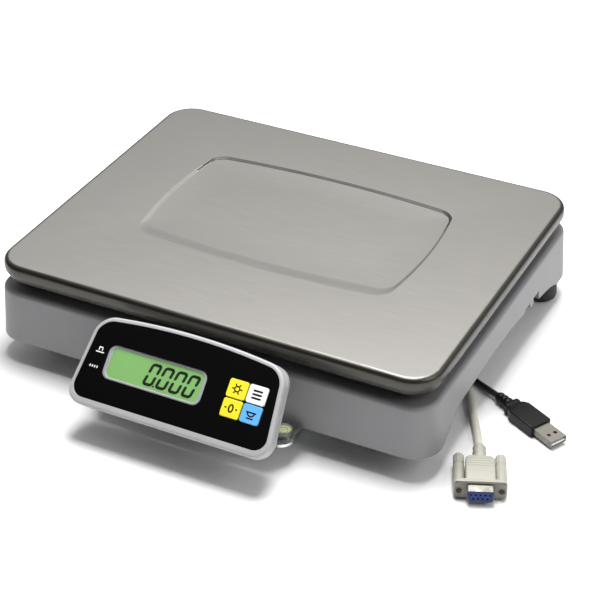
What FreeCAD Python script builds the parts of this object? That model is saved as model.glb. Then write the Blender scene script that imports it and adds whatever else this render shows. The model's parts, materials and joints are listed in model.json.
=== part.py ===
"""Checkout scale: a weighing pan on a low housing, with a tilting front display.

Frame: +X to the operator's right, +Y to the back, +Z up. The origin is on the surface that
the feet stand on, under the middle of the scale with its display. Sizes are in millimetres.
"""
import FreeCAD, Part
import math
import os
import re
from FreeCAD import Placement, Rotation, Vector

DIMENSIONS = {
    # The pan and where its middle lies
    "middle": 25.6, "pan_width": 300, "pan_depth": 240, "pan_corner": 20, "pan_top": 72,
    "pan_sheet": 0.8, "pan_round": 3.6, "skirt_height": 8, "hem_height": 4.5, "hem_inset": 2.75,
    "recess_depth": 1.0, "recess_middle": 8, "recess_side": 88, "recess_side_bow": 5,
    "recess_end": 55, "recess_end_bow": 5.5, "recess_corner": 9,
    # The housing
    "housing_top": 52.5, "housing_bottom": 17, "housing_grow": 2, "housing_draft": 3.5,
    "housing_corner": 18, "housing_wall": 2.5, "housing_round": 3.2,
    "deck_width": 200, "deck_depth": 90, "deck_corner": 8,
    "boss_reach_x": 122, "boss_reach_y": 98, "boss_radius": 5,
    # The chassis plate and what stands on it
    "chassis_bottom": 34, "chassis_sheet": 2, "chassis_width": 292, "chassis_depth": 232,
    "cell_length": 130, "cell_width": 30, "cell_height": 20, "cell_hole": 6.5,
    "spacer_height": 3, "live_spacer_height": 2, "spider_sheet": 3, "spider_reach_x": 105,
    "spider_reach_y": 85, "stud_top": 71.1, "stop_gap": 1.0, "stop_reach_y": 60,
    # The feet
    "foot_radius": 11, "foot_top_radius": 10, "foot_height": 15, "stud_radius": 3,
    "rear_foot_x": 138.5, "rear_foot_y": 128.3, "front_foot_x": 124, "front_foot_y": -60.2,
    # The display, measured across, up the slope, and out from its face
    "display_x": 2.3, "display_y": -144.4, "display_z": 30.6, "display_tilt": 45,
    "face_half": 66.1, "face_lean": 0.1056, "face_side": 48.2, "face_crown": 52.6,
    "face_corner": 8.5, "rim": 2.6, "rim_low": 4.3, "bezel_proud": 0.4, "bezel_depth": 6,
    "display_depth": 9.5, "display_wall": 2, "overlay_sheet": 0.6, "front_web": 1.5,
    "window_left": -50.3, "window_right": 17.1, "window_low": 14.7, "window_high": 36.2,
    "window_corner": 5, "key_middle_u": 44.2, "key_middle_v": 25.5, "key_pitch_u": 13.1,
    "key_pitch_v": 11.9, "key_width": 12.3, "key_tall": 11.1, "key_proud": 0.7,
    # The display's hinge and bracket
    "hinge_y": -113.2, "hinge_z": 24.4, "barrel_radius": 5, "knuckle_reach": 28,
    "knuckle_width": 12, "pin_radius": 2, "ear_sheet": 2,
    "bracket_left": -65.4, "bracket_right": 70, "bracket_front": -118.2,
    "bracket_top": 17, "bracket_sheet": 2, "bracket_back": -60, "bracket_corner": 9,
    # The bubble level
    "level_x": 61.6, "level_y": -106.2, "level_radius": 5.8, "level_height": 3.8,
    # The cords
    "serial_diameter": 5, "usb_diameter": 4,
}

doc = FreeCAD.newDocument("checkout_scale")
sheet = doc.addObject("Spreadsheet::Sheet", "dims")
parts = []


def fill_sheet():
    """Write each driving dimension into its own cell, with its name as the alias."""
    for row, (word, number) in enumerate(DIMENSIONS.items(), start=1):
        sheet.set("A%d" % row, word)
        sheet.set("B%d" % row, str(number))
        sheet.setAlias("B%d" % row, word)
    doc.recompute()


def size(word):
    """Read one driving dimension back from the sheet."""
    return float(getattr(sheet, word))


def bind(thing, target, formula):
    """Bind a property to a formula written in the sheet's words."""
    def cell(match):
        return "dims." + match[0] if match[0] in DIMENSIONS else match[0]
    thing.setExpression(target, re.sub(r"[a-z_]+", cell, str(formula)))


def place(thing, x, y, z, axis=(0, 0, 1), degrees=0):
    """Turn a thing and bind its position to three formulas."""
    thing.Placement = Placement(Vector(), Rotation(Vector(*axis), degrees))
    for letter, formula in zip("xyz", (x, y, z)):
        bind(thing, "Placement.Base." + letter, formula)
    return thing


def keep(thing, label):
    """Name a finished sub-part; the label names its file."""
    thing.Label = label
    parts.append(thing)
    return thing


def box(length, width, height, x, y, z):
    """A Part box with its low corner at x, y, z."""
    thing = doc.addObject("Part::Box", "box")
    bind(thing, "Length", length)
    bind(thing, "Width", width)
    bind(thing, "Height", height)
    return place(thing, x, y, z)


def cylinder(radius, height, x, y, z, axis=(0, 0, 1), degrees=0):
    """A Part cylinder whose foot is at x, y, z."""
    thing = doc.addObject("Part::Cylinder", "cylinder")
    bind(thing, "Radius", radius)
    bind(thing, "Height", height)
    return place(thing, x, y, z, axis, degrees)


def cone(low, high, height, x, y, z, axis=(0, 0, 1), degrees=0):
    """A Part cone whose foot is at x, y, z."""
    thing = doc.addObject("Part::Cone", "cone")
    bind(thing, "Radius1", low)
    bind(thing, "Radius2", high)
    bind(thing, "Height", height)
    return place(thing, x, y, z, axis, degrees)


def hexagon(across, height, x, y, z):
    """A hexagonal prism, such as a nut, across its corners."""
    thing = doc.addObject("Part::Prism", "prism")
    thing.Polygon = 6
    bind(thing, "Circumradius", across)
    bind(thing, "Height", height)
    return place(thing, x, y, z)


def fuse(*things):
    """Join solids into one."""
    joined = doc.addObject("Part::MultiFuse", "fuse")
    joined.Shapes = list(things)
    return joined


def cut(base, *tools):
    """Take the tools away from the base."""
    left = doc.addObject("Part::Cut", "cut")
    left.Base = base
    left.Tool = tools[0] if len(tools) == 1 else fuse(*tools)
    return left


def group(*things):
    """Several separate solids that share one node."""
    several = doc.addObject("Part::Compound", "group")
    several.Links = list(things)
    return several


def shape_feature(shape, placement=None):
    """A feature whose shape is made with Part's own functions."""
    feature = doc.addObject("Part::Feature", "feature")
    feature.Shape = shape
    if placement:
        feature.Placement = placement
    return feature


def origin_plane(body, role):
    """One of a body's own origin planes, found by its role."""
    return next(plane for plane in body.Origin.OriginFeatures if plane.Role == role)


def sketch_on(body, role, offset):
    """A sketch parallel to an origin plane, at a bound distance from it."""
    sketch = body.newObject("Sketcher::SketchObject", "sketch")
    sketch.AttachmentSupport = [(origin_plane(body, role), "")]
    sketch.MapMode = "FlatFace"
    bind(sketch, "AttachmentOffset.Base.z", offset)
    return sketch


def draw_rounded_rectangle(sketch, width, depth, corner):
    """Draw a fully constrained rounded rectangle about the sketch's origin."""
    from Sketcher import Constraint
    wide, deep, turn = 50.0, 40.0, 5.0
    spots = [(1, 1, 0), (-1, 1, 90), (-1, -1, 180), (1, -1, 270)]
    for right, up, start in spots:
        middle = Vector(right * (wide - turn), up * (deep - turn), 0)
        circle = Part.Circle(middle, Vector(0, 0, 1), turn)
        first = math.radians(start)
        sketch.addGeometry(Part.ArcOfCircle(circle, first, first + math.pi / 2))
    ends = [((wide - turn, deep), (turn - wide, deep)), ((-wide, deep - turn), (-wide, turn - deep)),
            ((turn - wide, -deep), (wide - turn, -deep)), ((wide, turn - deep), (wide, deep - turn))]
    for (ax, ay), (bx, by) in ends:
        sketch.addGeometry(Part.LineSegment(Vector(ax, ay, 0), Vector(bx, by, 0)))
    for side in range(4):
        sketch.addConstraint(Constraint("Tangent", side, 2, 4 + side, 1))
        sketch.addConstraint(Constraint("Tangent", 4 + side, 2, (side + 1) % 4, 1))
    for side in (4, 6):
        sketch.addConstraint(Constraint("Horizontal", side))
    for side in (5, 7):
        sketch.addConstraint(Constraint("Vertical", side))
    for side in (1, 2, 3):
        sketch.addConstraint(Constraint("Equal", 0, side))
    sketch.addConstraint(Constraint("Symmetric", 0, 3, 2, 3, -1, 1))
    radius = sketch.addConstraint(Constraint("Radius", 0, turn))
    across = sketch.addConstraint(Constraint("DistanceX", 0, 3, (wide - turn)))
    along = sketch.addConstraint(Constraint("DistanceY", 0, 3, (deep - turn)))
    bind(sketch, "Constraints[%d]" % radius, corner)
    bind(sketch, "Constraints[%d]" % across, "(%s) / 2 - (%s)" % (width, corner))
    bind(sketch, "Constraints[%d]" % along, "(%s) / 2 - (%s)" % (depth, corner))


def slab(ring, low, high, fillet=None, spread=None):
    """A rounded plate between two heights; ring is (width, depth, corner) at the lower one.

    With a spread, the sides lean outwards by that many degrees on the way up. With a
    fillet, the upper edge is rounded to that radius.
    """
    body = doc.addObject("PartDesign::Body", "slab")
    sketch = sketch_on(body, "XY_Plane", low)
    draw_rounded_rectangle(sketch, *ring)
    pad = body.newObject("PartDesign::Pad", "pad")
    pad.Profile = sketch
    bind(pad, "Length", "(%s) - (%s)" % (high, low))
    if spread:
        bind(pad, "TaperAngle", spread)
    if fillet:
        doc.recompute()
        round_top(body, pad, fillet)
    return body


def round_top(body, feature, radius):
    """Round every edge of the feature that lies at its highest level."""
    top = feature.Shape.BoundBox.ZMax
    names = ["Edge%d" % number for number, edge in enumerate(feature.Shape.Edges, start=1)
             if edge.BoundBox.ZMin > top - 0.01]
    fillet = body.newObject("PartDesign::Fillet", "fillet")
    fillet.Base = (feature, names)
    bind(fillet, "Radius", radius)


def draw_arched_outline(sketch, half, low, side, crown):
    """Draw sides that lean inwards under one shallow arc; the sizes are formulas.

    `half` is the outline's half width level with the foot of the face.
    """
    from Sketcher import Constraint
    corners = [Vector(-33, 0, 0), Vector(33, 0, 0), Vector(30, 20, 0), Vector(-30, 20, 0)]
    for first, second in ((0, 1), (1, 2), (3, 0)):
        sketch.addGeometry(Part.LineSegment(corners[first], corners[second]))
    arc = Part.Arc(corners[2], Vector(0, 24, 0), corners[3])
    sketch.addGeometry(arc)
    joints = [(0, 2, 1, 1), (1, 2, 3, 1), (3, 2, 2, 1), (2, 2, 0, 1)]
    for joint in joints:
        sketch.addConstraint(Constraint("Coincident", *joint))
    sketch.addConstraint(Constraint("Symmetric", 0, 1, 0, 2, -2))
    sketch.addConstraint(Constraint("Symmetric", 1, 2, 2, 1, -2))
    foot = sketch.addConstraint(Constraint("DistanceX", 0, 2, 33))
    reach = sketch.addConstraint(Constraint("DistanceX", 1, 2, 30))
    floor = sketch.addConstraint(Constraint("DistanceY", 0, 1, 0.5))
    shoulder = sketch.addConstraint(Constraint("DistanceY", 1, 2, 20))
    bow = sketch.addConstraint(Constraint("Radius", 3, sketch.Geometry[3].Radius))
    rise = "((%s) - (%s))" % (crown, side)
    top_half = "((%s) - face_lean * (%s))" % (half, side)
    bind(sketch, "Constraints[%d]" % foot, "(%s) - face_lean * (%s)" % (half, low))
    bind(sketch, "Constraints[%d]" % reach, top_half)
    bind(sketch, "Constraints[%d]" % floor, low)
    bind(sketch, "Constraints[%d]" % shoulder, side)
    bind(sketch, "Constraints[%d]" % bow, "(%s^2 + %s^2) / (2 * %s)" % (top_half, rise, rise))


def arched_slab(grow, low_grow, back, thickness, corner, front_round=None):
    """A plate with the display's outline, grown by a formula, from `back` forwards."""
    body = doc.addObject("PartDesign::Body", "arched")
    sketch = sketch_on(body, "XY_Plane", back)
    draw_arched_outline(sketch, "face_half + " + grow, "0 - (%s)" % low_grow,
                        "face_side + " + grow, "face_crown + " + grow)
    pad = body.newObject("PartDesign::Pad", "pad")
    pad.Profile = sketch
    bind(pad, "Length", thickness)
    doc.recompute()
    upright = ["Edge%d" % number for number, edge in enumerate(pad.Shape.Edges, start=1)
               if edge.BoundBox.ZLength > 0.05 and edge.BoundBox.XLength < 0.01]
    fillet = body.newObject("PartDesign::Fillet", "corners")
    fillet.Base = (pad, upright)
    bind(fillet, "Radius", corner)
    if front_round:
        doc.recompute()
        round_top(body, fillet, front_round)
    return body


def moved(thing, placement):
    """Move a finished piece; one whose own place is bound is grouped first."""
    if thing.ExpressionEngine:
        thing = group(thing)
    thing.Placement = placement.multiply(thing.Placement)
    return thing


def on_display(thing):
    """Put a piece that was built flat in the display's own place."""
    base = Vector(size("display_x"), size("display_y"), size("display_z"))
    tilt = Placement(base, Rotation(Vector(1, 0, 0), size("display_tilt")))
    return moved(thing, tilt)


def round_path(points):
    """Straight runs joined by tangent arcs; returns the wire and each arc's radius."""
    spots = [Vector(*point) for point in points]
    edges = []
    radii = []
    start = spots[0]
    for before, corner, after in zip(spots, spots[1:], spots[2:]):
        back = before - corner
        ahead = after - corner
        half_turn = (math.pi - back.getAngle(ahead)) / 2
        reach = 0.45 * min(back.Length, ahead.Length)
        back.normalize()
        ahead.normalize()
        radii.append(reach / math.tan(half_turn))
        first = corner + back * reach
        last = corner + ahead * reach
        to_middle = (back + ahead).normalize()
        depth = radii[-1] / math.cos(half_turn) - radii[-1]
        edges.append(Part.LineSegment(start, first).toShape())
        edges.append(Part.Arc(first, corner + to_middle * depth, last).toShape())
        start = last
    edges.append(Part.LineSegment(start, spots[-1]).toShape())
    return Part.Wire(edges), radii


def cord_tube(points, diameter, label):
    """A round tube along a hand-chosen route."""
    path, radii = round_path(points)
    direction = Vector(*points[1]) - Vector(*points[0])
    ring = Part.Circle(Vector(*points[0]), direction, diameter / 2)
    tube = path.makePipeShell([Part.Wire(ring.toShape())], True, True)
    section = math.pi * diameter ** 2 / 4
    print("%s length %.1f volume ratio %.4f smallest radii %s" % (
        label, path.Length, tube.Volume / (section * path.Length),
        [round(radius, 1) for radius in sorted(radii)[:3]]))
    return keep(shape_feature(tube), label), path.Length


def recess_tool(grow, low, high, slope):
    """The shallow recess's outline, bowed out on all four sides, as a low plateau."""
    side = size("recess_side") + grow
    side_bow = side + size("recess_side_bow")
    end = size("recess_end") + grow
    end_bow = end + size("recess_end_bow")
    corners = [Vector(side, end, low), Vector(-side, end, low),
               Vector(-side, -end, low), Vector(side, -end, low)]
    bows = [Vector(0, end_bow, low), Vector(-side_bow, 0, low),
            Vector(0, -end_bow, low), Vector(side_bow, 0, low)]
    edges = [Part.Arc(corners[n], bows[n], corners[(n + 1) % 4]).toShape() for n in range(4)]
    plateau = Part.Face(Part.Wire(edges)).extrude(Vector(0, 0, high - low))
    upright = [edge for edge in plateau.Edges if edge.BoundBox.ZLength > 0.9 * (high - low)
               and edge.BoundBox.XLength < 0.01]
    plateau = plateau.makeFillet(size("recess_corner") + grow, upright)
    floor = [edge for edge in plateau.Edges if edge.BoundBox.ZMax < low + 0.01]
    plateau = plateau.makeChamfer(slope, floor)
    plateau.translate(Vector(0, size("middle") + size("recess_middle"), 0))
    return shape_feature(plateau)


def pan_form(inset, crown, round_radius, foot):
    """The pressed pan's form, filled solid, pulled in by the inset."""
    skirt = "pan_top - skirt_height"
    wide = "pan_width - 2 * %s" % inset
    deep = "pan_depth - 2 * %s" % inset
    turn = "pan_corner - %s" % inset
    upper = slab((wide, deep, turn), skirt, crown, round_radius)
    hem = slab(("%s - 2 * hem_inset" % wide, "%s - 2 * hem_inset" % deep,
                "%s - hem_inset" % turn), foot, skirt, None, "atan(hem_inset / hem_height)")
    for body in (upper, hem):
        place(body, 0, "middle", 0)
    return fuse(upper, hem)


def make_pan():
    """A pressed stainless pan with a turned-in skirt and a shallow recess."""
    top = size("pan_top")
    sheet_metal = size("pan_sheet")
    depth = size("recess_depth")
    outside = pan_form("0", "pan_top", "pan_round", "pan_top - skirt_height - hem_height")
    dished = cut(outside, recess_tool(0, top - depth, top + 0.4, 0.9))
    inside = pan_form("pan_sheet", "pan_top - pan_sheet", "pan_round - pan_sheet",
                      "pan_top - skirt_height - hem_height")
    core = cut(inside, recess_tool(sheet_metal, top - depth - sheet_metal, top, 0.9))
    keep(cut(dished, core), "pan")


def housing_block(inset, top, round_radius=None):
    """The housing's leaning block up to a height, pulled in by the inset."""
    ring = ("pan_width + 2 * (housing_grow - %s)" % inset,
            "pan_depth + 2 * (housing_grow - %s)" % inset, "housing_corner - %s" % inset)
    block = slab(ring, "housing_bottom", top, round_radius, "0 - housing_draft")
    return place(block, 0, "middle", 0)


def arch_tool():
    """The long low arch under each side of the housing, steep in front, gentle behind."""
    middle = size("middle")
    low = size("housing_bottom") - 1
    curve = [(-103, 17), (-92, 22), (-80, 29.5), (-65, 31.5), (-20, 33), (30, 30.5),
             (62, 25.5), (80, 22.5), (95, 17)]
    reach = 160
    points = [Vector(-reach, middle + along, up) for along, up in curve]
    spline = Part.BSplineCurve()
    spline.interpolate(points)
    first = Vector(-reach, points[0].y, low)
    last = Vector(-reach, points[-1].y, low)
    edges = [Part.LineSegment(first, points[0]).toShape(), spline.toShape(),
             Part.LineSegment(points[-1], last).toShape(), Part.LineSegment(last, first).toShape()]
    prism = Part.Face(Part.Wire(edges)).extrude(Vector(2 * reach, 0, 0))
    return shape_feature(prism)


def four_corners(reach_x, reach_y):
    """Formulas for the four places at equal reaches about the pan's middle."""
    return [("%s * %s" % (right, reach_x), "middle + %s * %s" % (up, reach_y))
            for right in (-1, 1) for up in (-1, 1)]


def foot_places():
    """Each foot's name with the formulas for its place."""
    return [("front_left", "0 - front_foot_x", "front_foot_y"),
            ("front_right", "front_foot_x", "front_foot_y"),
            ("rear_left", "0 - rear_foot_x", "rear_foot_y"),
            ("rear_right", "rear_foot_x", "rear_foot_y")]


def make_housing():
    """The moulded housing: walls, a deck with an opening, side arches and screw bosses."""
    outside = housing_block("0", "housing_top", "housing_round")
    inside = housing_block("housing_wall", "housing_top - housing_wall")
    opening = place(slab(("deck_width", "deck_depth", "deck_corner"), "housing_top - 5",
                         "housing_top + 1"), 0, "middle", 0)
    stops = [cylinder(6, 6, x, y, "housing_top - 5")
             for x, y in four_corners("spider_reach_x", "stop_reach_y")]
    slots = [box(14, 10, 16, "pan_width / 2 - 4", "middle + %d" % along, "housing_bottom - 1")
             for along in (34, 50)]
    grommet_hole = cylinder(3.5, 8, -50, "middle - pan_depth / 2 + 3", 27, (1, 0, 0), 90)
    shell = cut(outside, inside, opening, arch_tool(), grommet_hole, *(stops + slots))
    bosses = [cylinder("boss_radius", "housing_top - 1 - chassis_bottom - chassis_sheet", x, y,
                       "chassis_bottom + chassis_sheet")
              for x, y in four_corners("boss_reach_x", "boss_reach_y")]
    pilots = [cylinder(1.7, 10, x, y, "chassis_bottom + chassis_sheet - 0.5")
              for x, y in four_corners("boss_reach_x", "boss_reach_y")]
    keep(cut(fuse(shell, *bosses), *pilots), "base_housing")


def make_chassis():
    """The steel chassis plate with its holes, and the screws that hold it in the housing."""
    plate = place(slab(("chassis_width", "chassis_depth", "housing_corner - 6"),
                       "chassis_bottom", "chassis_bottom + chassis_sheet"), 0, "middle", 0)
    holes = [cylinder(1.8, 6, x, y, "chassis_bottom - 2")
             for x, y in four_corners("boss_reach_x", "boss_reach_y")]
    holes += [cylinder("stud_radius + 0.1", 6, x, y, "chassis_bottom - 2")
              for name, x, y in foot_places()]
    holes += [cylinder(2.1, 6, x, "middle", "chassis_bottom - 2") for x in (-58, -38)]
    holes += [cylinder(2.1, 6, x, y, "chassis_bottom - 2")
              for x, y in four_corners("(spider_reach_x)", "stop_reach_y")]
    holes += [cylinder(1.6, 6, x, "bracket_back + 10", "chassis_bottom - 2") for x in (-40, 45)]
    holes += [cylinder(5, 6, -14, y, "chassis_bottom - 2") for y in (22, 62)]
    keep(cut(plate, *holes), "chassis_plate")
    screws = []
    for x, y in four_corners("boss_reach_x", "boss_reach_y"):
        shank = cylinder(1.6, 10, x, y, "chassis_bottom - 0.5")
        screws.append(fuse(shank, cylinder(3.4, 2.4, x, y, "chassis_bottom - 2.4")))
    keep(group(*screws), "housing_screws")


def make_feet():
    """Four levelling feet, each a rubber foot on a threaded stud, with lock nuts."""
    nuts = []
    for name, x, y in foot_places():
        pad = cone("foot_radius", "foot_top_radius", "foot_height - 1.5", x, y, "1.5")
        base = cone("foot_radius - 1.2", "foot_radius", 1.5, x, y, 0)
        foot = cut(fuse(base, pad), cylinder("stud_radius", "foot_height", x, y, 7))
        keep(foot, "foot_" + name)
        keep(cylinder("stud_radius", 36, x, y, 7), "foot_stud_" + name)
        nut = cut(hexagon(5.8, 4, x, y, "chassis_bottom - 4"),
                  cylinder("stud_radius + 0.1", 8, x, y, "chassis_bottom - 6"))
        nuts.append(nut)
    keep(group(*nuts), "foot_lock_nuts")


def make_load_cell():
    """The single-point load cell, its spacers, its bolts and the overload stops."""
    floor = "(chassis_bottom + chassis_sheet)"
    cell_floor = "(%s + spacer_height)" % floor
    cell_top = "(%s + cell_height)" % cell_floor
    block = box("cell_length", "cell_width", "cell_height", "0 - cell_length / 2",
                "middle - cell_width / 2", cell_floor)
    middle_z = "%s + cell_height / 2" % cell_floor
    bores = [cylinder("cell_hole", "cell_width + 4", x, "middle + cell_width / 2 + 2", middle_z,
                      (1, 0, 0), 90) for x in (-11, 11)]
    slot = box(22, "cell_width + 4", 4, -11, "middle - cell_width / 2 - 2",
               "%s + cell_height / 2 - 2" % cell_floor)
    taps = [cylinder(2, 12, x, "middle", cell_floor) for x in (-58, -38)]
    taps += [cylinder(2, 12, x, "middle", "%s - 12" % cell_top) for x in (38, 58)]
    keep(cut(block, slot, *(bores + taps)), "load_cell")
    fixed = box(32, "cell_width", "spacer_height", -64, "middle - cell_width / 2", floor)
    fixed_holes = [cylinder(2.1, 6, x, "middle", floor) for x in (-58, -38)]
    keep(cut(fixed, *fixed_holes), "cell_spacer_fixed")
    live = box(32, "cell_width", "live_spacer_height", 32, "middle - cell_width / 2", cell_top)
    live_holes = [cylinder(2.1, 6, x, "middle", "%s - 1" % cell_top) for x in (38, 58)]
    keep(cut(live, *live_holes), "cell_spacer_live")
    fixed_bolts = [fuse(cylinder(2, 15, x, "middle", "chassis_bottom - 0.5"),
                        cylinder(3.5, 4, x, "middle", "chassis_bottom - 4")) for x in (-58, -38)]
    keep(group(*fixed_bolts), "fixed_end_bolts")
    spider_top = "(%s + live_spacer_height + spider_sheet)" % cell_top
    live_bolts = [fuse(cylinder(2, 14, x, "middle", "%s - 13.5" % spider_top),
                       cylinder(3.5, 3, x, "middle", spider_top)) for x in (38, 58)]
    keep(group(*live_bolts), "live_end_bolts")
    stop_height = "%s + live_spacer_height - stop_gap" % cell_top
    stops = [fuse(cylinder(2, "%s - chassis_bottom + 2" % stop_height, x, y, "chassis_bottom - 2"),
                  cylinder(3.6, 3, x, y, floor))
             for x, y in four_corners("spider_reach_x", "stop_reach_y")]
    keep(group(*stops), "overload_stops")
    make_spider("(%s + live_spacer_height)" % cell_top)


def make_spider(level):
    """The pan carrier: a spine over the cell, two cross bars and four rubber studs."""
    spine = box("2 * spider_reach_x", 36, "spider_sheet", "0 - spider_reach_x", "middle - 18", level)
    bars = [box(20, "2 * spider_reach_y + 18", "spider_sheet",
                "%d * spider_reach_x - 10" % right, "middle - spider_reach_y - 9", level)
            for right in (-1, 1)]
    holes = [cylinder(2.1, 6, x, "middle", "%s - 1" % level) for x in (38, 58)]
    holes += [cylinder(2.5, 6, x, y, "%s - 1" % level)
              for x, y in four_corners("spider_reach_x", "spider_reach_y")]
    keep(cut(fuse(spine, *bars), *holes), "pan_carrier")
    top = "(%s + spider_sheet)" % level
    studs = [fuse(cylinder(7, "stud_top - %s" % top, x, y, top),
                  cylinder(2.5, "spider_sheet", x, y, level))
             for x, y in four_corners("spider_reach_x", "spider_reach_y")]
    keep(group(*studs), "pan_studs")


def make_electronics():
    """The main board on its standoffs, its bigger components, and the cell's lead."""
    board_x, board_y, board_z = -98, 74, 41
    spots = [(x, y) for x in (-92, -20) for y in (80, 126)]
    board = cut(box(84, 58, 1.6, board_x, board_y, board_z),
                *[cylinder(1.6, 4, x, y, board_z - 1) for x, y in spots])
    keep(board, "main_board")
    floor = "chassis_bottom + chassis_sheet"
    keep(group(*[cylinder(2.6, "%d - %s" % (board_z, floor.replace(" + ", " - ")), x, y, floor)
                 for x, y in spots]), "board_standoffs")
    top = board_z + 1.6
    bodies = [box(16, 9, 6, -80, 120, top), box(16, 9, 6, -58, 120, top),
              box(14, 14, 2, -66, 94, top), box(10, 8, 5, -38, 84, top),
              cylinder(4, 6.5, -84, 90, top)]
    keep(group(*bodies), "board_components")


def make_glands():
    """The two strain reliefs under the chassis that the cords come out of."""
    for label, y, radius in (("serial_gland", 22, 2.5), ("usb_gland", 62, 2)):
        block = box(18, 12, 10, -20, y - 6, "chassis_bottom - 10")
        nose = cone(5, radius + 1.2, 22, -2, y, "chassis_bottom - 5", (0, 1, 0), 90)
        stem = cylinder(4.5, "chassis_sheet + 3", -14, y, "chassis_bottom - 0.5")
        keep(fuse(block, nose, stem), label)


def make_display():
    """The display: bezel, cover, overlay, window, module, board, switches and keys."""
    bezel = arched_slab("rim", "rim_low", "0 - bezel_depth", "bezel_depth + bezel_proud",
                        "face_corner + rim", 1.5)
    bed = arched_slab("0.15", "0.15", "0 - overlay_sheet", "overlay_sheet + 1", "face_corner")
    hollow = arched_slab("rim - display_wall", "rim_low - display_wall", "0 - bezel_depth - 1",
                         "bezel_depth + 1 - overlay_sheet - front_web", "face_corner + 1")
    wide = "window_right - window_left"
    tall = "window_high - window_low"
    window_x = "(window_left + window_right) / 2"
    window_y = "(window_low + window_high) / 2"

    def window(grow, low, high):
        ring = ("%s + 2 * (%s)" % (wide, grow), "%s + 2 * (%s)" % (tall, grow),
                "window_corner + (%s)" % grow)
        return place(slab(ring, low, high), window_x, window_y, 0)

    def keypad(grow, low, high):
        ring = ("key_pitch_u + key_width + 2 * (%s)" % grow,
                "key_pitch_v + key_tall + 2 * (%s)" % grow, "2")
        return place(slab(ring, low, high), "key_middle_u", "key_middle_v", 0)

    shell = cut(bezel, bed, hollow, window("0 - 1", -4, 1), keypad("0.4", -4, 1))
    keep(on_display(shell), "display_bezel")
    film = arched_slab("0", "0", "0 - overlay_sheet", "overlay_sheet", "face_corner")
    film = cut(film, window("0", -4, 1), keypad("0.4", -4, 1))
    keep(on_display(film), "display_overlay")
    lens = window("0 - 0.1", "0 - overlay_sheet", "0 - 0.05")
    keep(on_display(lens), "display_window")
    module = place(slab((wide + " - 3", tall + " - 1", "1"), "0 - 5.4", "0 - 2.2"),
                   window_x, window_y, 0)
    keep(on_display(module), "lcd_module")
    keep(on_display(box("2 * face_half - 24", 42, 1.4, "12 - face_half", 3, "0 - 7")),
         "display_board")
    make_cover()
    make_keys()


def key_places():
    """The four keys' names with their places on the face."""
    return [("light", -1, 1), ("function", 1, 1), ("zero", -1, -1), ("tare", 1, -1)]


def make_keys():
    """Four push keys, each a cap on a short stem above its switch."""
    switches = []
    for name, right, up in key_places():
        x = "key_middle_u + %d * key_pitch_u / 2" % right
        y = "key_middle_v + %d * key_pitch_v / 2" % up
        cap = place(slab(("key_width", "key_tall", "1.4"), "0 - 1.5", "key_proud", "0.4"),
                    x, y, 0)
        key = fuse(cap, cylinder(2, 1.6, x, y, "0 - 2.9"))
        keep(on_display(key), "key_" + name)
        switches.append(box(6, 6, 2.2, x + " - 3", y + " - 3", "0 - 5.6"))
    keep(on_display(group(*switches)), "key_switches")


def make_cover():
    """The display's rear cover with two hinge knuckles and its screws."""
    cover = arched_slab("rim", "rim_low", "0 - display_depth", "display_depth - bezel_depth",
                        "face_corner + rim")
    hollow = arched_slab("rim - display_wall", "rim_low - display_wall",
                         "display_wall - display_depth", "display_depth", "face_corner + 1")
    tilt = math.radians(size("display_tilt"))
    back = size("hinge_y") - size("display_y")
    rise = size("hinge_z") - size("display_z")
    up_slope = back * math.cos(tilt) + rise * math.sin(tilt)
    outwards = rise * math.cos(tilt) - back * math.sin(tilt)
    middle = -size("display_x")
    knuckles = []
    pin_holes = []
    for right in (-1, 1):
        left_end = middle + right * size("knuckle_reach") - size("knuckle_width") / 2
        knuckles.append(box("knuckle_width", 8, -outwards - size("display_depth") + 0.5,
                            left_end, up_slope - 4, outwards))
        knuckles.append(cylinder("barrel_radius", "knuckle_width", left_end, up_slope, outwards,
                                 (0, 1, 0), 90))
        pin_holes.append(cylinder("pin_radius + 0.06", "knuckle_width + 4", left_end - 2,
                                  up_slope, outwards, (0, 1, 0), 90))
    spots = [(x, y) for x in (-57, 57) for y in (4, 44)]
    holes = [cylinder(1.3, 6, x, y, "0 - display_depth - 1") for x, y in spots]
    body = cut(fuse(cut(cover, hollow), *knuckles), *(pin_holes + holes))
    keep(on_display(body), "display_rear_cover")
    screws = [fuse(cylinder(1.2, 5.5, x, y, "0 - display_depth - 0.2"),
                   cylinder(2.4, 1.4, x, y, "0 - display_depth - 1.4")) for x, y in spots]
    keep(on_display(group(*screws)), "display_screws")


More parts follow.
